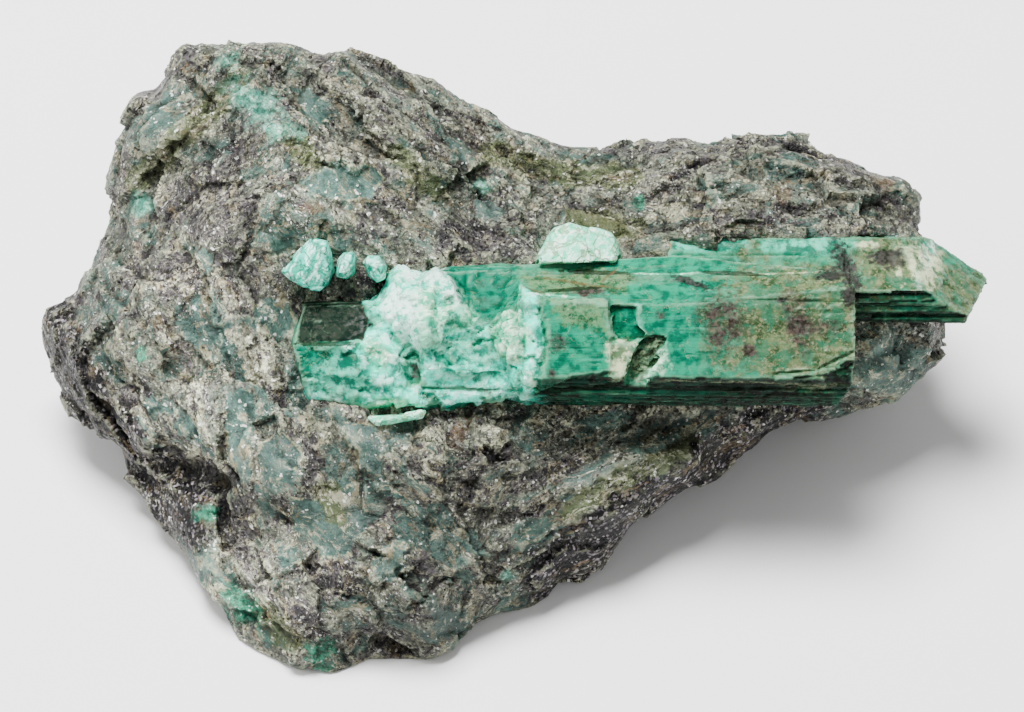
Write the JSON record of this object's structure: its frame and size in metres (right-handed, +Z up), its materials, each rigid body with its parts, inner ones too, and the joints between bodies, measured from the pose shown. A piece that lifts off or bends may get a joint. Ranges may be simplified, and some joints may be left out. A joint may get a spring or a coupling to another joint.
{
  "type": "emerald crystal in mica schist matrix",
  "caption": "Lump of dark mica schist, flat underneath, with emerald prisms and small mint crystals grown into its sloping face.",
  "frame": {"origin": "centre of the bounding box at its bottom, on the flat resting face", "axes": "+X along the main prism, the longest extent; +Z up; the face that carries the crystals leans back and looks toward -Y and up"},
  "size_m": [0.0946, 0.0578, 0.0359],
  "materials": {
    "schist": "broken mica schist with sparkling flakes",
    "emerald": "glassy, finely striated along the prism",
    "pale_beryl": "cracked, satin",
    "mint_beryl": "satin to glassy"
  },
  "bodies": {
    "root": {"matrix": "schist", "emerald_cluster": "emerald", "emerald_pale": "pale_beryl", "emerald_chip_1": "mint_beryl", "emerald_chip_2": "mint_beryl", "emerald_chip_3": "mint_beryl", "emerald_sliver": "pale_beryl"}
  },
  "joints": []
}
